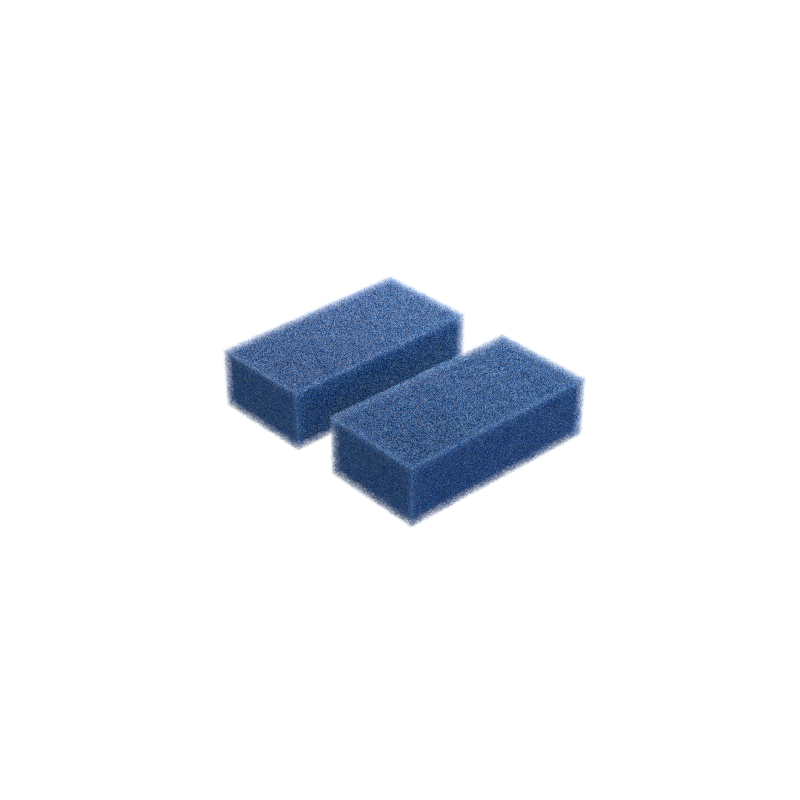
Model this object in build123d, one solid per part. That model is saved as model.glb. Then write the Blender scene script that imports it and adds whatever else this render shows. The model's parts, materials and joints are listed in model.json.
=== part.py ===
from build123d import *
import math
import os

# Two loose filter sponges: equal blocks of open-cell foam, each cut square from a slab and
# laid side by side on a flat surface. Millimetres, +Z up. The origin is on that surface,
# under the middle of the pair. +X runs along the rear block, +Y from front block to rear.

# One block
block_length = 200.0
block_width = 100.0
block_height = 58.0

# How the pair lies
gap_between = 46.3   # from side to facing side, on the rear block's middle
front_shift = -2.1   # the front block's middle from the rear block's, along X
front_turn = -1.2    # degrees about Z, anticlockwise from above

# How close the front block may come to the rear one when it is pushed up beside it
closed_clearance = 0.36


def cut_block():
    """One block, standing on its large face with its middle over the origin."""
    standing = (Align.CENTER, Align.CENTER, Align.MIN)
    return Box(block_length, block_width, block_height, align=standing)


turn = math.radians(front_turn)
pitch = block_width + gap_between

# The front block's reach either way from its own middle, turned as it lies
front_reach_x = (block_length * math.cos(turn) + block_width * abs(math.sin(turn))) / 2
front_reach_y = (block_length * abs(math.sin(turn)) + block_width * math.cos(turn)) / 2

# The pair's box, measured from the rear block's middle
low_x = min(-block_length / 2, front_shift - front_reach_x)
high_x = max(block_length / 2, front_shift + front_reach_x)
low_y = -pitch - front_reach_y
high_y = block_width / 2

rear_x = -(low_x + high_x) / 2
rear_y = -(low_y + high_y) / 2

rear_sponge = Pos(rear_x, rear_y, 0) * cut_block()
front_sponge = (
    Pos(rear_x + front_shift, rear_y - pitch, 0) * Rot(0, 0, front_turn) * cut_block()
)

nodes = {"rear_sponge": rear_sponge, "front_sponge": front_sponge}

os.makedirs("parts", exist_ok=True)
for name, shape in nodes.items():
    shape.label = name
    export_step(shape, f"parts/{name}.step")

# What the joint and the resting faces are set from
open_gap = pitch - block_width / 2 - front_reach_y
print(f"rear block's middle: {rear_x:.3f}, {rear_y:.3f}")
print(f"front block's middle: {rear_x + front_shift:.3f}, {rear_y - pitch:.3f}")
print(f"least gap: {open_gap:.3f}, travel: {open_gap - closed_clearance:.3f}")
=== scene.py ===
import json
import math
import time

import bmesh
import bpy
import numpy as np
from mathutils import Matrix, Vector


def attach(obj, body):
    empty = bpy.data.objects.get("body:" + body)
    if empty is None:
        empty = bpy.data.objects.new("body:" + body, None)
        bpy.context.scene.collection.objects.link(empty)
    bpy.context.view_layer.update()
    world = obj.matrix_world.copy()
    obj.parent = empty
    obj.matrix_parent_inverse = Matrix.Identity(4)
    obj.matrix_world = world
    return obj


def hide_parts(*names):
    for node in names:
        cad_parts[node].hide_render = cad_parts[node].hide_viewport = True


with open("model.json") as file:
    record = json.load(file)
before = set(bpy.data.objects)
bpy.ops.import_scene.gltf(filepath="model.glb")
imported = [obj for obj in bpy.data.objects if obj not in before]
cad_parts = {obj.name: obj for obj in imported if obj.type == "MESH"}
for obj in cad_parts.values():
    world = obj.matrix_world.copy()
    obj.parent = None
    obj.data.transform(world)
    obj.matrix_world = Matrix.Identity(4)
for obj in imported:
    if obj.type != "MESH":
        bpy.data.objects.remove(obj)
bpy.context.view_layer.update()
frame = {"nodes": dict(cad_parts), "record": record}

startTime = time.time()


def tell(stage):
    print(f"{time.time() - startTime:6.1f} s  {stage}")


# The foam's own pattern: bubbles, the corners where four of them meet, and the strands between
# corners. It fills a cube that repeats in all three directions, so a block of any size can be cut.
foam = {
    "bubble": 0.00208,    # spacing of the bubbles, metres
    "bubbles": 420,       # in one repeating cube
    "drops": 100,         # test points for each bubble while their spacing is evened out
    "batches": 20,        # that the test points are taken in, to save memory
    "neighbours": 44,     # nearest bubbles, the only ones that may touch a bubble
    "evening": 3,         # rounds of evening out their spacing
    "settling": 4,        # rounds of evening out the strands' lengths
    "restLength": 0.42,   # of a strand, in spacings
    "pull": 0.22,         # how far a strand moves its corners in one round
    "spread": 0.8,        # how much a joint's corners keep between its strands
    "seed": 11,
    "joint": 0.00015,     # strand joint, from its middle to its corners
    "cutEnd": 0.00012,    # strand where the knife cut it, from its middle to its corners
    "uneven": 0.22,       # how much thicker or thinner a joint may be
}


def spreadBubbles(count, rounds, rng):
    middles = rng.random((count, 3))
    for _ in range(rounds):
        drops = rng.random((count * foam["drops"], 3))
        pull = np.zeros((count, 3))
        share = np.zeros(count)
        for some in np.array_split(drops, foam["batches"]):
            away = some[:, None] - middles[None]
            away -= np.round(away)
            owner = (away ** 2).sum(2).argmin(1)
            np.add.at(pull, owner, away[np.arange(len(some)), owner])
            np.add.at(share, owner, 1)
        middles = (middles + pull / share[:, None]) % 1
    return middles


def findCorners(middles):
    # A bubble's walls, turned inside out, are the corners of a hull, and each face of that hull
    # is a point where the bubble meets three others.
    quads, shifts, points = [], [], []
    for me, middle in enumerate(middles):
        shift = -np.round(middles - middle)
        away = middles + shift - middle
        gap = (away ** 2).sum(1)
        near = np.argsort(gap)[1:foam["neighbours"] + 1]
        inverse = away[near] / gap[near, None]
        hull = bmesh.new()
        for place in inverse:
            hull.verts.new(place)
        hull.verts.index_update()
        bmesh.ops.convex_hull(hull, input=hull.verts)
        trios = np.array([[v.index for v in face.verts] for face in hull.faces])
        hull.free()
        trios = trios[(near[trios] > me).all(1)]
        if len(trios) == 0:
            continue
        halfWay = np.full((len(trios), 3, 1), 0.5)
        points.append(middle + np.linalg.solve(inverse[trios], halfWay)[..., 0])
        quads.append(np.column_stack([np.full(len(trios), me), near[trios]]))
        shifts.append(np.concatenate([np.zeros((len(trios), 1, 3)), shift[near[trios]]], 1))
    return np.concatenate(quads), np.concatenate(shifts).astype(int), np.concatenate(points)


def findStrands(quads, shifts):
    # Two corners that share three bubbles are the ends of one strand
    seen, strands = {}, []
    for corner in range(len(quads)):
        for left in range(4):
            slots = sorted((s for s in range(4) if s != left), key=lambda s: quads[corner, s])
            base = shifts[corner, slots[0]]
            key = tuple((quads[corner, s], *(shifts[corner, s] - base)) for s in slots)
            if key in seen:
                other, otherSlots, otherLeft, otherBase = seen.pop(key)
                step = otherBase - base
                strands.append((other, corner, *step, *otherSlots, *slots, otherLeft, left))
            else:
                seen[key] = (corner, slots, left, base)
    return np.array(strands), len(seen)


def settleCorners(corners, first, second, step, rest):
    # Strands pull and push their corners, so that few stay much shorter or longer than others
    for _ in range(foam["settling"]):
        reach = corners[second] + step - corners[first]
        length = np.linalg.norm(reach, axis=1, keepdims=True) + 1e-9
        move = reach * (1 - rest / length) * foam["pull"]
        change = np.zeros_like(corners)
        np.add.at(change, first, move)
        np.add.at(change, second, -move)
        corners = corners + change
    return corners


def unit(vectors):
    return vectors / (np.linalg.norm(vectors, axis=-1, keepdims=True) + 1e-12)


def evenRims(rims, along):
    # Three directions square to a strand, a third of a turn apart, near the given ones.
    # The 0.3 gives a second direction that the strand never lies along.
    across = unit(np.cross(along, along[:, [1, 2, 0]] + 0.3))
    upward = np.cross(along, across)
    angle = np.arctan2((rims * upward[:, None]).sum(2), (rims * across[:, None]).sum(2))
    third = np.arange(3) * 2 * math.pi / 3
    start = np.angle(np.exp(1j * (angle - third)).sum(1))[:, None] + third
    return np.cos(start)[..., None] * across[:, None] + np.sin(start)[..., None] * upward[:, None]


def makePattern():
    rng = np.random.default_rng(foam["seed"])
    middles = spreadBubbles(foam["bubbles"], foam["evening"], rng)
    quads, shifts, corners = findCorners(middles)
    strands, loose = findStrands(quads, shifts)
    first, second, step = strands[:, 0], strands[:, 1], strands[:, 2:5]
    slotsA, slotsB = strands[:, 5:8], strands[:, 8:11]
    leftA, leftB = strands[:, 11], strands[:, 12]
    every = np.arange(len(corners))

    # Which way round each strand's edges and each joint's ends go
    arms = unit(middles[quads] + shifts - corners[:, None])
    along = unit(corners[second] + step - corners[first])
    a, b, c = (arms[first, slotsA[:, k]] for k in range(3))
    turned = (np.cross(b - a, c - a) * along).sum(1) < 0
    for slots in (slotsA, slotsB):
        slots[turned] = slots[turned][:, [0, 2, 1]]
    caps = np.repeat(np.array([[[1, 2, 3], [0, 2, 3], [0, 1, 3], [0, 1, 2]]]), len(corners), 0)
    for left in range(4):
        a, b, c = (arms[every, caps[:, left, k]] for k in range(3))
        inward = (np.cross(b - a, c - a) * (a - arms[:, left])).sum(1) < 0
        caps[inward, left] = caps[inward, left][:, [0, 2, 1]]

    spacing = foam["bubbles"] ** (-1 / 3)
    corners = settleCorners(corners, first, second, step, foam["restLength"] * spacing)
    along = unit(corners[second] + step - corners[first])
    pointing = np.zeros((len(corners), 4, 3))
    pointing[first, leftA] = along
    pointing[second, leftB] = -along
    arms = unit(pointing.sum(1, keepdims=True) - pointing + foam["spread"] * arms)
    rims = evenRims(arms[first[:, None], slotsA] + arms[second[:, None], slotsB], along)
    tell(f"foam pattern: {len(corners)} corners, {len(strands)} strands, {loose} loose ends")
    return {"corners": corners, "arms": arms, "caps": caps, "first": first, "second": second,
            "step": step, "slotsA": slotsA, "slotsB": slotsB, "leftA": leftA, "leftB": leftB,
            "rims": rims, "cube": foam["bubble"] / spacing}


pattern = makePattern()


# A block cut out of the foam: open strands in its skin, and a pitted core under them, painted dark
# as painted shade of the deeper foam
block = {
    "skin": 0.0026,        # depth of open strands over the core, metres
    "underSkin": 0.0016,   # same on the face that it lies on
    "coreRound": 0.0078,   # the core's rounded edges, which let light through the block's edges
    "layer": 0.0014,       # where the outer layer of strands ends
    "drift": 0.0016,       # how far the foam is pushed out of its regular repeat
    "driftLength": 0.034,  # from one push to the next
    "waves": 4,            # of drift, laid over each other
    "waveShare": 0.7,      # of the drift, for each wave
    "waveRange": (0.8, 1.6),   # how long the waves are, in drift lengths
    "margin": (0.87, 3),   # a cube this near the skin is kept: in cubes, and in drifts
    "reach": 0.002,        # how far strands run on into the core
    "sink": 0.0002,        # a joint this far down in the core can still be seen
    "cutSlide": 0.0004,    # the farthest that the knife draws out a strand's corner
    "leastSlope": 0.2,     # of a strand against the face that cuts it
    "seeds": {"rear_sponge": 5, "front_sponge": 8},
}
sides = ("left", "right", "front", "back", "bottom", "top")
layers = ("outer", "inner")
strips = {"left": 1, "right": 1, "front": 2, "back": 2, "bottom": 2, "top": 2}   # pieces a side


def blockPlace(name):
    # The block's middle on the ground, its turn and its size, from the plain solid
    places = np.array([v.co for v in frame["nodes"][name].data.vertices], float)
    flat = places[:, :2] - places[:, :2].mean(0)
    axes = np.linalg.svd(flat, full_matrices=False)[2]
    longWay = axes[0] * np.sign(axes[0, 0])
    sideWay = np.array([-longWay[1], longWay[0]])
    size = np.array([np.ptp(flat @ longWay), np.ptp(flat @ sideWay), np.ptp(places[:, 2])])
    middle = np.array([*places[:, :2].mean(0), places[:, 2].min()])
    turn = math.atan2(longWay[1], longWay[0])
    return Matrix.Translation(Vector(middle)) @ Matrix.Rotation(turn, 4, "Z"), size


def sideDepths(places, size):
    # How deep each place is under the six faces of a block that stands on the ground
    half = size[:2] / 2
    x, y, z = places[..., 0], places[..., 1], places[..., 2]
    return np.stack([half[0] + x, half[0] - x, half[1] + y, half[1] - y, z, size[2] - z], -1)


def coreBox(size):
    skin = block["skin"]
    low = np.array([skin - size[0] / 2, skin - size[1] / 2, block["underSkin"]])
    high = np.array([size[0] / 2 - skin, size[1] / 2 - skin, size[2] - skin])
    return low, high


def coreGap(places, size):
    # Distance outside the core
    low, high = coreBox(size)
    out = np.abs(places - (low + high) / 2) - (high - low) / 2 + block["coreRound"]
    outside = np.linalg.norm(np.maximum(out, 0), axis=-1)
    return outside + np.minimum(out.max(-1), 0) - block["coreRound"]


def drift(places, rng):
    moved = places.copy()
    for _ in range(block["waves"]):
        way, wave = unit(rng.normal(size=(2, 3)))
        wave = wave * 2 * math.pi / (block["driftLength"] * rng.uniform(*block["waveRange"]))
        swing = np.sin(places @ wave + rng.uniform(0, 2 * math.pi))
        moved += block["drift"] * block["waveShare"] * swing[..., None] * way
    return moved


def growFoam(size, seed):
    # Every corner of the foam near the block's skin, and every strand as a pair of corners
    rng = np.random.default_rng(seed)
    cube = pattern["cube"]
    turn = np.linalg.qr(rng.normal(size=(3, 3)))[0]
    turn *= np.sign(np.linalg.det(turn))
    origin = rng.uniform(-1, 1, 3) * cube
    boxCorners = np.array([[x, y, z] for x in (-size[0] / 2, size[0] / 2)
                           for y in (-size[1] / 2, size[1] / 2) for z in (0, size[2])])
    reach = (boxCorners - origin) @ turn / cube
    low = np.floor(reach.min(0)).astype(int) - 1
    count = np.ceil(reach.max(0)).astype(int) + 1 - low
    tiles = np.stack(np.meshgrid(*(np.arange(n) for n in count), indexing="ij"), -1)
    tiles = tiles.reshape(-1, 3)
    middles = (tiles + low + 0.5) * cube @ turn.T + origin
    margin = cube * block["margin"][0] + block["drift"] * block["margin"][1]
    near = (sideDepths(middles, size).min(1) > -margin) & (coreGap(middles, size) > -margin)
    number = np.where(near, np.cumsum(near) - 1, -1)
    tiles = tiles[near]
    amount = len(pattern["corners"])
    places = ((tiles + low)[:, None] + pattern["corners"][None]) * cube @ turn.T + origin
    places = drift(places.reshape(-1, 3), rng)

    ends = tiles[:, None] + pattern["step"][None]
    real = ((ends >= 0) & (ends < count)).all(2)
    endTile = (ends[..., 0] * count[1] + ends[..., 1]) * count[2] + ends[..., 2]
    endTile = number[np.where(real, endTile, 0)]
    real &= endTile >= 0
    first = np.arange(len(tiles))[:, None] * amount + pattern["first"][None]
    second = endTile * amount + pattern["second"][None]
    kind = np.broadcast_to(np.arange(len(pattern["first"])), real.shape)
    return places, np.column_stack([first[real], second[real], kind[real]]), turn, rng


def cutBlock(size, seed):
    places, strands, turn, rng = growFoam(size, seed)
    depths = sideDepths(places, size).min(1)
    gap = coreGap(places, size)
    inside = (depths > 0) & (gap > -block["reach"])
    shown = (depths > 0) & (gap > -block["sink"])
    beyond = depths <= 0
    a, b, kind = strands.T
    whole = inside[a] & inside[b] & (shown[a] | shown[b])
    stubs = (shown[a] & beyond[b]) | (shown[b] & beyond[a])
    cut = {"size": size, "places": places, "beyond": beyond,
           "fat": foam["joint"] * (1 + foam["uneven"] * rng.uniform(-1, 1, len(places))),
           "arms": pattern["arms"] @ turn.T, "rims": pattern["rims"] @ turn.T}

    # Each strand belongs to the face it is nearest to, and to the outer or the inner layer
    middle = (places[a] + places[b]) / 2
    near = sideDepths(middle, size)
    near[:, sides.index("bottom")] *= block["skin"] / block["underSkin"]
    side = near.argmin(1)
    layer = (near.min(1) > block["layer"]).astype(int)
    share = (middle[:, 0] / size[0] + 0.5).clip(0, 0.999)   # under 1, for the last strip
    pieces = []
    for number, sideName in enumerate(sides):
        strip = (share * strips[sideName]).astype(int)
        for depth in range(len(layers)):
            for part in range(strips[sideName]):
                mine = (side == number) & (layer == depth) & (strip == part)
                mesh = strandMesh(cut, strands[mine & whole], strands[mine & stubs])
                pieces.append((number, depth, part, mesh))
    return pieces


def knifeEnds(cut, start, end, fat, rims):
    # The three corners of each strand's end, flat on the face that the strand leaves by
    size = cut["size"]
    deepIn, deepOut = sideDepths(start, size), sideDepths(end, size)
    share = np.where(deepOut < 0, deepIn / (deepIn - deepOut), 2)   # 2 lies past the strand
    face, share = share.argmin(1), share.min(1)
    row = np.arange(len(face))
    middle = start + (end - start) * share[:, None]
    edge = middle[:, None] + (foam["cutEnd"] * fat / foam["joint"])[:, None, None] * rims
    along = unit(end - start)
    normal = np.zeros((len(face), 3))
    normal[row, face // 2] = 1
    slope = (along * normal).sum(1)
    off = ((edge - middle[:, None]) * normal[:, None]).sum(2)
    slope = np.where(np.abs(slope) < block["leastSlope"], block["leastSlope"], slope)
    slide = np.clip(-off / slope[:, None], -block["cutSlide"], block["cutSlide"])
    edge = edge + slide[..., None] * along[:, None]
    edge[row[:, None], np.arange(3)[None], (face // 2)[:, None]] = middle[row, face // 2][:, None]
    return edge


def strandMesh(cut, whole, stubs):
    # Three-sided strands. Those that meet at a joint share its four corners
    places, fat, beyond = cut["places"], cut["fat"], cut["beyond"]
    amount = len(pattern["corners"])
    flip = beyond[stubs[:, 0]]
    kind = stubs[:, 2]
    inEnd = np.where(flip, stubs[:, 1], stubs[:, 0])
    outEnd = np.where(flip, stubs[:, 0], stubs[:, 1])
    joined = np.concatenate([whole[:, 0], whole[:, 1], inEnd])
    used, index = np.unique(joined, return_inverse=True)
    a, b, c = np.split(index, [len(whole), 2 * len(whole)])
    joints = places[used][:, None] + fat[used][:, None, None] * cut["arms"][used % amount]
    ends = knifeEnds(cut, places[inEnd], places[outEnd], fat[inEnd], cut["rims"][kind])
    verts = np.concatenate([joints.reshape(-1, 3), ends.reshape(-1, 3)])
    vacant = np.ones((len(used), 4), bool)
    vacant[a, pattern["leftA"][whole[:, 2]]] = False
    vacant[b, pattern["leftB"][whole[:, 2]]] = False
    vacant[c, np.where(flip, pattern["leftB"][kind], pattern["leftA"][kind])] = False

    slots = np.where(flip[:, None], pattern["slotsB"][kind], pattern["slotsA"][kind])
    ringC = c[:, None] * 4 + slots
    ringE = len(joints) * 4 + np.arange(len(stubs) * 3).reshape(-1, 3)
    near = np.concatenate([a[:, None] * 4 + pattern["slotsA"][whole[:, 2]],
                           np.where(flip[:, None], ringE, ringC)])
    far = np.concatenate([b[:, None] * 4 + pattern["slotsB"][whole[:, 2]],
                          np.where(flip[:, None], ringC, ringE)])
    quads = [np.column_stack([near[:, k], near[:, k - 2], far[:, k - 2], far[:, k]])
             for k in range(3)]
    node, slot = np.nonzero(vacant)
    tris = np.concatenate([np.where(flip[:, None], ringE[:, ::-1], ringE),
                           node[:, None] * 4 + pattern["caps"][used[node] % amount, slot]])
    half = cut["size"] / 2
    low = np.array([-half[0], -half[1], 0])
    high = np.array([half[0], half[1], cut["size"][2]])
    return verts.clip(low, high), np.concatenate(quads), tris


mapEdge = 0.01   # left free at each side of a map, of its width


def makeMesh(name, verts, quads, tris, flat):
    mesh = bpy.data.meshes.new(name)
    mesh.vertices.add(len(verts))
    mesh.vertices.foreach_set("co", verts.astype(np.float32).ravel())
    corners = np.concatenate([quads.ravel(), tris.ravel()]).astype(np.int32)
    starts = np.concatenate([np.arange(len(quads)) * 4,
                             len(quads) * 4 + np.arange(len(tris)) * 3])
    mesh.loops.add(len(corners))
    mesh.loops.foreach_set("vertex_index", corners)
    mesh.polygons.add(len(starts))
    mesh.polygons.foreach_set("loop_start", starts.astype(np.int32))
    mesh.polygons.foreach_set("use_smooth", np.ones(len(starts), bool))
    mesh.update(calc_edges=True)
    # The map lies flat on the block's face
    across = verts[:, flat]
    across = mapEdge + (1 - 2 * mapEdge) * (across - across.min(0)) / np.ptp(across, axis=0)
    layer = mesh.uv_layers.new(name="OFBake")
    layer.uv.foreach_set("vector", across[corners].astype(np.float32).ravel())
    return mesh


core = {
    "square": 0.00105,    # size of the squares it is made of, metres
    "pit": 0.0009,        # depth of its pits
    "none": 1e-6,         # a length that counts as none, metres
    "mapShift": 0.001,    # keeps the sides apart on the map, metres
    "mapScale": 0.98,
    # Painted shade: the core's colours, darkest in the hollows between strand lines, stand in for
    # the shade deep in the foam
    "paintedPoreShade": (0.015, 0.06, 0.20, 1),
    "strand": (0.035, 0.13, 0.42, 1),
    # Painted light: the core's colour turns paler near the block's edges
    "paintedEdgeLight": (0.16, 0.32, 0.76, 1),   # near the block's edges
    "paintedEdgeLightShare": 0.75,
    "wall": (0.02, 0.16),           # of a bubble's width, where a strand fades into a hollow
    "relief": 0.0006,               # height of the strands on it, metres
    "roughness": 0.85,
    "gloss": 0.2,
}


def makeCore(name, size, rng):
    # A box of small squares with its edges rounded and its surface pitted
    low, high = coreBox(size)
    middle, span = (low + high) / 2, high - low
    box = bmesh.new()
    bmesh.ops.create_cube(box, size=1.0)
    for v in box.verts:
        v.co = Vector(middle + span * np.array(v.co))
    for axis in range(3):
        along = [e for e in box.edges if abs((e.verts[0].co - e.verts[1].co)[axis]) > core["none"]]
        bmesh.ops.subdivide_edges(box, edges=along, cuts=int(span[axis] / core["square"]),
                                  use_grid_fill=True)
    mesh = bpy.data.meshes.new(name)
    box.to_mesh(mesh)
    box.free()
    places = np.empty(len(mesh.vertices) * 3, np.float32)
    mesh.vertices.foreach_get("co", places)
    places = places.reshape(-1, 3).astype(float)
    centres = np.array([p.center for p in mesh.polygons])
    sideOf = np.abs((centres - middle) / span).argmax(1)
    above = (centres > middle)[np.arange(len(centres)), sideOf]
    makeCoreMap(mesh, places, sideOf, above, low, span)
    nearest = places.clip(low + block["coreRound"], high - block["coreRound"])
    outward = unit(places - nearest)
    deep = block["coreRound"] - core["pit"] * rng.random(len(places)) ** 2
    mesh.vertices.foreach_set("co", (nearest + outward * deep[:, None]).astype(np.float32).ravel())
    mesh.polygons.foreach_set("use_smooth", np.ones(len(mesh.polygons), bool))
    mesh.update()
    return mesh


def makeCoreMap(mesh, places, sideOf, above, low, span):
    # The six sides of the core laid out one over another
    ends = 2 * span[1] + 2 * span[2]
    tall = ends + span[2]
    rows = {(2, True): (0, 0), (2, False): (span[1], 0), (1, True): (2 * span[1], 0),
            (1, False): (2 * span[1] + span[2], 0), (0, True): (ends, 0),
            (0, False): (ends, span[1])}
    starts = np.empty(len(mesh.polygons), np.int32)
    mesh.polygons.foreach_get("loop_start", starts)
    vertex = np.empty(len(mesh.loops), np.int32)
    mesh.loops.foreach_get("vertex_index", vertex)
    counts = np.diff(np.append(starts, len(vertex)))
    where = np.repeat(np.arange(len(starts)), counts)
    uv = np.zeros((len(vertex), 2))
    for (axis, high), (row, column) in rows.items():
        mine = (sideOf[where] == axis) & (above[where] == high)
        flat = [k for k in range(3) if k != axis]
        local = (places[vertex[mine]] - low)[:, flat]
        local = local * core["mapScale"] + (column, row) + core["mapShift"]
        uv[mine] = local / (span[0], tall)
    layer = mesh.uv_layers.new(name="OFBake")
    layer.uv.foreach_set("vector", uv.clip(0, 1).astype(np.float32).ravel())


# Materials
class Val:
    # A socket in a material, so that sums on it add the Math nodes
    def __init__(self, paint, socket):
        self.paint = paint
        self.socket = socket

    def __add__(self, other):
        return self.paint.sums("ADD", self, other)

    def __sub__(self, other):
        return self.paint.sums("SUBTRACT", self, other)

    def __rsub__(self, other):
        return self.paint.sums("SUBTRACT", other, self)

    def __mul__(self, other):
        return self.paint.sums("MULTIPLY", self, other)

    def __abs__(self):
        return self.paint.sums("ABSOLUTE", self, 0.0)

    __radd__ = __add__
    __rmul__ = __mul__


class Paint:
    def __init__(self, owner):
        # The owner is a new material, or the world
        self.owner = owner
        owner.use_nodes = True
        self.tree = owner.node_tree
        self.tree.nodes.clear()

    def add(self, kind, settings, **sockets):
        # A socket goes by its name, or by n and its number
        node = self.tree.nodes.new("ShaderNode" + kind)
        for key, value in settings.items():
            setattr(node, key, value)
        for key, value in sockets.items():
            number = key[1:].isdigit()
            socket = node.inputs[int(key[1:]) if number else key.replace("_", " ")]
            if isinstance(value, Val):
                self.tree.links.new(value.socket, socket)
            else:
                socket.default_value = value
        return node

    def out(self, node, key=0):
        return Val(self, node.outputs[key])

    def sums(self, operation, a, b):
        return self.out(self.add("Math", {"operation": operation}, n0=a, n1=b))

    def mix(self, share, a, b):
        return self.out(self.add("Mix", {"data_type": "RGBA"}, n0=share, n6=a, n7=b), 2)

    def noise(self, where, scale, detail):
        return self.out(self.add("TexNoise", {}, Vector=where, Scale=scale, Detail=detail), "Fac")

    def spread(self, value, low, high, first=0.0, second=1.0):
        return self.out(self.add("MapRange", {}, Value=value, From_Min=low, From_Max=high,
                                 To_Min=first, To_Max=second))

    def least(self, a, b):
        return self.sums("MINIMUM", a, b)

    def most(self, a, b):
        return self.sums("MAXIMUM", a, b)

    def finish(self, kind, end, **sockets):
        shader = self.add(kind, {}, **sockets)
        output = self.add(end, {})
        self.tree.links.new(shader.outputs[0], output.inputs[0])
        return self.owner


strandPaint = {
    "deep": (0.075, 0.19, 0.48),
    "pale": (0.11, 0.26, 0.61),
    # Painted light: the strands' colour turns paler near the block's edges, in a narrow rim and a
    # broader, fainter band, standing in for light let through the edges
    "edge": (0.27, 0.45, 0.90),   # where the block's edges let light through
    "paintedRimWidth": 0.0018,
    "paintedRimShare": 0.8,
    "paintedBandWidth": 0.013,           # a broader, fainter band inside it
    "paintedBandShare": 0.72,
    # Painted shade: the inner layer's colours are darkened to 0.8 of the outer one's, for the
    # shade deeper in the foam
    "innerPaintedShade": 0.8,             # of the inner layer, beside the outer one
    "fine": {"scale": 420, "detail": 1},    # how the colour varies, waves per metre
    "cloudy": {"scale": 26, "detail": 2},
    "fineRange": (0.3, 0.7),
    "cloudyRange": (0.35, 0.65),
    "fineShare": 0.7,
    "cloudyShare": 0.3,
    "roughness": (0.3, 0.45),
    "gloss": 0.5,
    "shine": (0.6, 0.8, 1, 1),
    "glow": 0.6,                  # share of the light that goes into a strand and out again
    "glowDepth": 0.0014,
}


def edgeGaps(paint, where, size):
    # How far a place is from the pair of faces across each axis of the block
    apart = paint.add("SeparateXYZ", {}, Vector=where)
    return [size[k] / 2 - abs(paint.out(apart, k) - (0, 0, size[2] / 2)[k]) for k in range(3)]


def paintStrands(axis, depth, size):
    name = f"blue foam strands {'xyz'[axis]} {layers[depth]}"
    paint = Paint(bpy.data.materials.new(name))
    where = paint.out(paint.add("TexCoord", {}), "Object")
    onFace = tuple(float(k != axis) for k in range(3))
    flat = paint.out(paint.add("VectorMath", {"operation": "MULTIPLY"}, n0=where, n1=onFace))
    fine = paint.noise(flat, **strandPaint["fine"])
    cloudy = paint.noise(flat, **strandPaint["cloudy"])
    share = (paint.spread(fine, *strandPaint["fineRange"], 0, strandPaint["fineShare"])
             + paint.spread(cloudy, *strandPaint["cloudyRange"], 0, strandPaint["cloudyShare"]))
    gaps = edgeGaps(paint, where, size)
    gap = paint.least(*(gaps[k] for k in range(3) if k != axis))
    # Painted light: a paler colour mixed in near the block's edges, in a broad band and a narrow
    # rim
    paintedBand = paint.spread(gap, 0, strandPaint["paintedBandWidth"], strandPaint["paintedBandShare"], 0)
    paintedRim = paint.spread(gap, 0, strandPaint["paintedRimWidth"], strandPaint["paintedRimShare"], 0)
    edge = paintedRim + paintedBand * paintedBand
    # Painted shade: the inner layer's colours are darkened; light below is the painted edge-light
    # colour
    shadeTone = (1, strandPaint["innerPaintedShade"])[depth]
    deep, pale, light = ((*(c * shadeTone for c in strandPaint[key]), 1)
                         for key in ("deep", "pale", "edge"))
    colour = paint.mix(edge, paint.mix(share, deep, pale), light)
    low, high = strandPaint["roughness"]
    rough = paint.spread(fine, *strandPaint["fineRange"], high, low)
    return paint.finish("BsdfPrincipled", "OutputMaterial", Base_Color=colour, Roughness=rough,
                        Specular_IOR_Level=strandPaint["gloss"],
                        Specular_Tint=strandPaint["shine"], Subsurface_Weight=strandPaint["glow"],
                        Subsurface_Radius=(1, 1, 1), Subsurface_Scale=strandPaint["glowDepth"])


def paintCore(size):
    paint = Paint(bpy.data.materials.new("blue foam, deep inside"))
    where = paint.out(paint.add("TexCoord", {}), "Object")
    cells = paint.add("TexVoronoi", {"feature": "DISTANCE_TO_EDGE"}, Vector=where,
                      Scale=1 / foam["bubble"])
    wall = paint.spread(paint.out(cells), *core["wall"], 1, 0)
    # The middle one of the three gaps is the distance to the nearest edge of the block, where the
    # core is painted paler as painted light
    a, b, c = edgeGaps(paint, where, size)
    gap = paint.most(paint.least(a, b), paint.least(paint.most(a, b), c))
    paintedEdgeLight = paint.spread(gap, block["skin"], strandPaint["paintedBandWidth"], core["paintedEdgeLightShare"], 0)
    # Painted shade: dark hollows and darkened strand lines on the core
    colour = paint.mix(wall, core["paintedPoreShade"], core["strand"])
    colour = paint.mix(paintedEdgeLight * paintedEdgeLight, colour, core["paintedEdgeLight"])
    bump = paint.add("Bump", {}, Height=wall, Distance=core["relief"], Strength=1.0)
    return paint.finish("BsdfPrincipled", "OutputMaterial", Base_Color=colour,
                        Roughness=core["roughness"], Specular_IOR_Level=core["gloss"],
                        Normal=paint.out(bump))


def makePiece(name, mesh, material, place, node, body):
    piece = bpy.data.objects.new(name, mesh)
    bpy.context.scene.collection.objects.link(piece)
    piece.matrix_world = place
    mesh.materials.append(material)
    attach(piece, body)
    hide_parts(node)


blockSize = blockPlace("rear_sponge")[1]
strandMaterials = [[paintStrands(axis, depth, blockSize) for depth in range(len(layers))]
                   for axis in range(3)]
coreMaterial = paintCore(blockSize)
bodies = frame["record"]["behaviour"]["bodies"]

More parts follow.
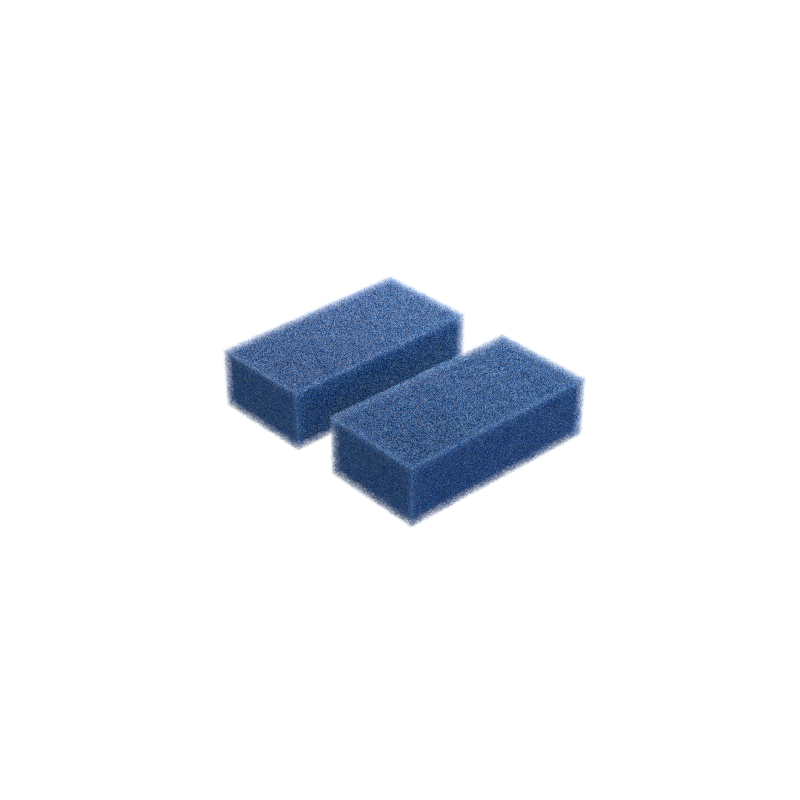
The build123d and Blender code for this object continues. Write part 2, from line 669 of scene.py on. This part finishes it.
for node, seed in block["seeds"].items():
    body = next(name for name, members in bodies.items() if node in members)
    place, size = blockPlace(node)
    label = node.split("_")[0]
    for side, depth, part, (verts, quads, tris) in cutBlock(size, seed):
        name = f"{label}_{sides[side]}_{layers[depth]}_strands_{part + 1}"
        flat = [k for k in range(3) if k != side // 2]
        mesh = makeMesh(name, verts, quads, tris, flat)
        makePiece(name, mesh, strandMaterials[side // 2][depth], place, node, body)
    mesh = makeCore(f"{label}_core", size, np.random.default_rng(seed))
    makePiece(mesh.name, mesh, coreMaterial, place, node, body)
    tell(node)


# Floor, light and camera
floorLook = {
    "half": 3.0,       # from its middle to its sides, metres
    "below": 0.0002,   # gap under the blocks, metres
    "glow": 0.54,      # on the blocks; the camera sees it white
}
lamps = {
    "window": {"place": (0.25, 0.42, 0.24), "width": 0.6, "watts": 3.7,
               "tint": (1.0, 0.94, 0.98)},
    "fill": {"place": (0.60, -0.10, 0.30), "width": 0.5, "watts": 5.2,
             "tint": (0.42, 0.84, 1.0)},
}
lampAim = (0, 0, 0.03)

# Which way each part of the room's light comes from, and its colour
room = (
    ((-1, 0, 0), (0.03, 0.43, 0.52)),
    ((0, -1, 0), (0.0, 0.42, 1.15)),
    ((0, 1, 0), (0.15, 0.15, 0.15)),
)


def makeFloor():
    mesh = bpy.data.meshes.new("floor")
    half = floorLook["half"]
    mesh.from_pydata([(-half, -half, 0), (half, -half, 0), (half, half, 0), (-half, half, 0)],
                     [], [(0, 1, 2, 3)])
    floor = bpy.data.objects.new("floor", mesh)
    bpy.context.scene.collection.objects.link(floor)
    floor.location.z = -floorLook["below"]
    paint = Paint(bpy.data.materials.new("white table"))
    seen = paint.out(paint.add("LightPath", {}), "Is Camera Ray")
    strength = seen * (1 - floorLook["glow"]) + floorLook["glow"]
    mesh.materials.append(paint.finish("Emission", "OutputMaterial", Color=(1, 1, 1, 1),
                                       Strength=strength))


def makeLight(name, place, width, watts, tint):
    data = bpy.data.lights.new(name, "AREA")
    data.shape = "DISK"
    data.size = width
    data.energy = watts
    data.color = tint
    light = bpy.data.objects.new(name, data)
    bpy.context.scene.collection.objects.link(light)
    light.location = place
    light.rotation_euler = (Vector(lampAim) - Vector(place)).to_track_quat("-Z", "Y").to_euler()
    light.visible_camera = False


view = {
    "azimuth": -43.04,
    "elevation": 32.85,
    "distance": 1.3815,         # metres
    "lens": 68.97,              # millimetres
    "sensor": 36,               # millimetres
    "aim": (0.0190, -0.0500),   # from the rear block's middle
    "softness": 2.3,            # how far a sharp edge is blurred
}


def makeCamera():
    middle = blockPlace("rear_sponge")[0].translation
    aim = Vector((middle.x + view["aim"][0], middle.y + view["aim"][1], 0))
    a, e = math.radians(view["azimuth"]), math.radians(view["elevation"])
    back = Vector((math.sin(a) * math.cos(e), -math.cos(a) * math.cos(e), math.sin(e)))
    data = bpy.data.cameras.new("camera")
    data.lens = view["lens"]
    data.sensor_width = view["sensor"]
    camera = bpy.data.objects.new("camera", data)
    bpy.context.scene.collection.objects.link(camera)
    camera.location = aim + back * view["distance"]
    camera.rotation_euler = back.to_track_quat("Z", "Y").to_euler()
    bpy.context.scene.camera = camera


def makeWorld():
    paint = Paint(bpy.data.worlds.new("studio"))
    way = paint.out(paint.add("TexCoord", {}), "Generated")
    glow = (0.0, 0.0, 0.0)
    for side, tint in room:
        towards = paint.add("VectorMath", {"operation": "DOT_PRODUCT"}, n0=way, n1=side)
        share = paint.spread(paint.out(towards, 1), 0, 1)
        glow = paint.out(paint.add("VectorMath", {"operation": "MULTIPLY_ADD"},
                                   n0=share, n1=tint, n2=glow))
    seen = paint.out(paint.add("LightPath", {}), "Is Camera Ray")
    colour = paint.mix(seen, glow, (1, 1, 1, 1))
    bpy.context.scene.world = paint.finish("Background", "OutputWorld", Color=colour)


makeFloor()
makeWorld()
for name, lamp in lamps.items():
    makeLight(name, **lamp)
makeCamera()
bpy.context.scene.view_settings.view_transform = "Standard"
bpy.context.scene.cycles.use_denoising = False
bpy.context.scene.cycles.filter_width = view["softness"]

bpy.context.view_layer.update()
tell("done")
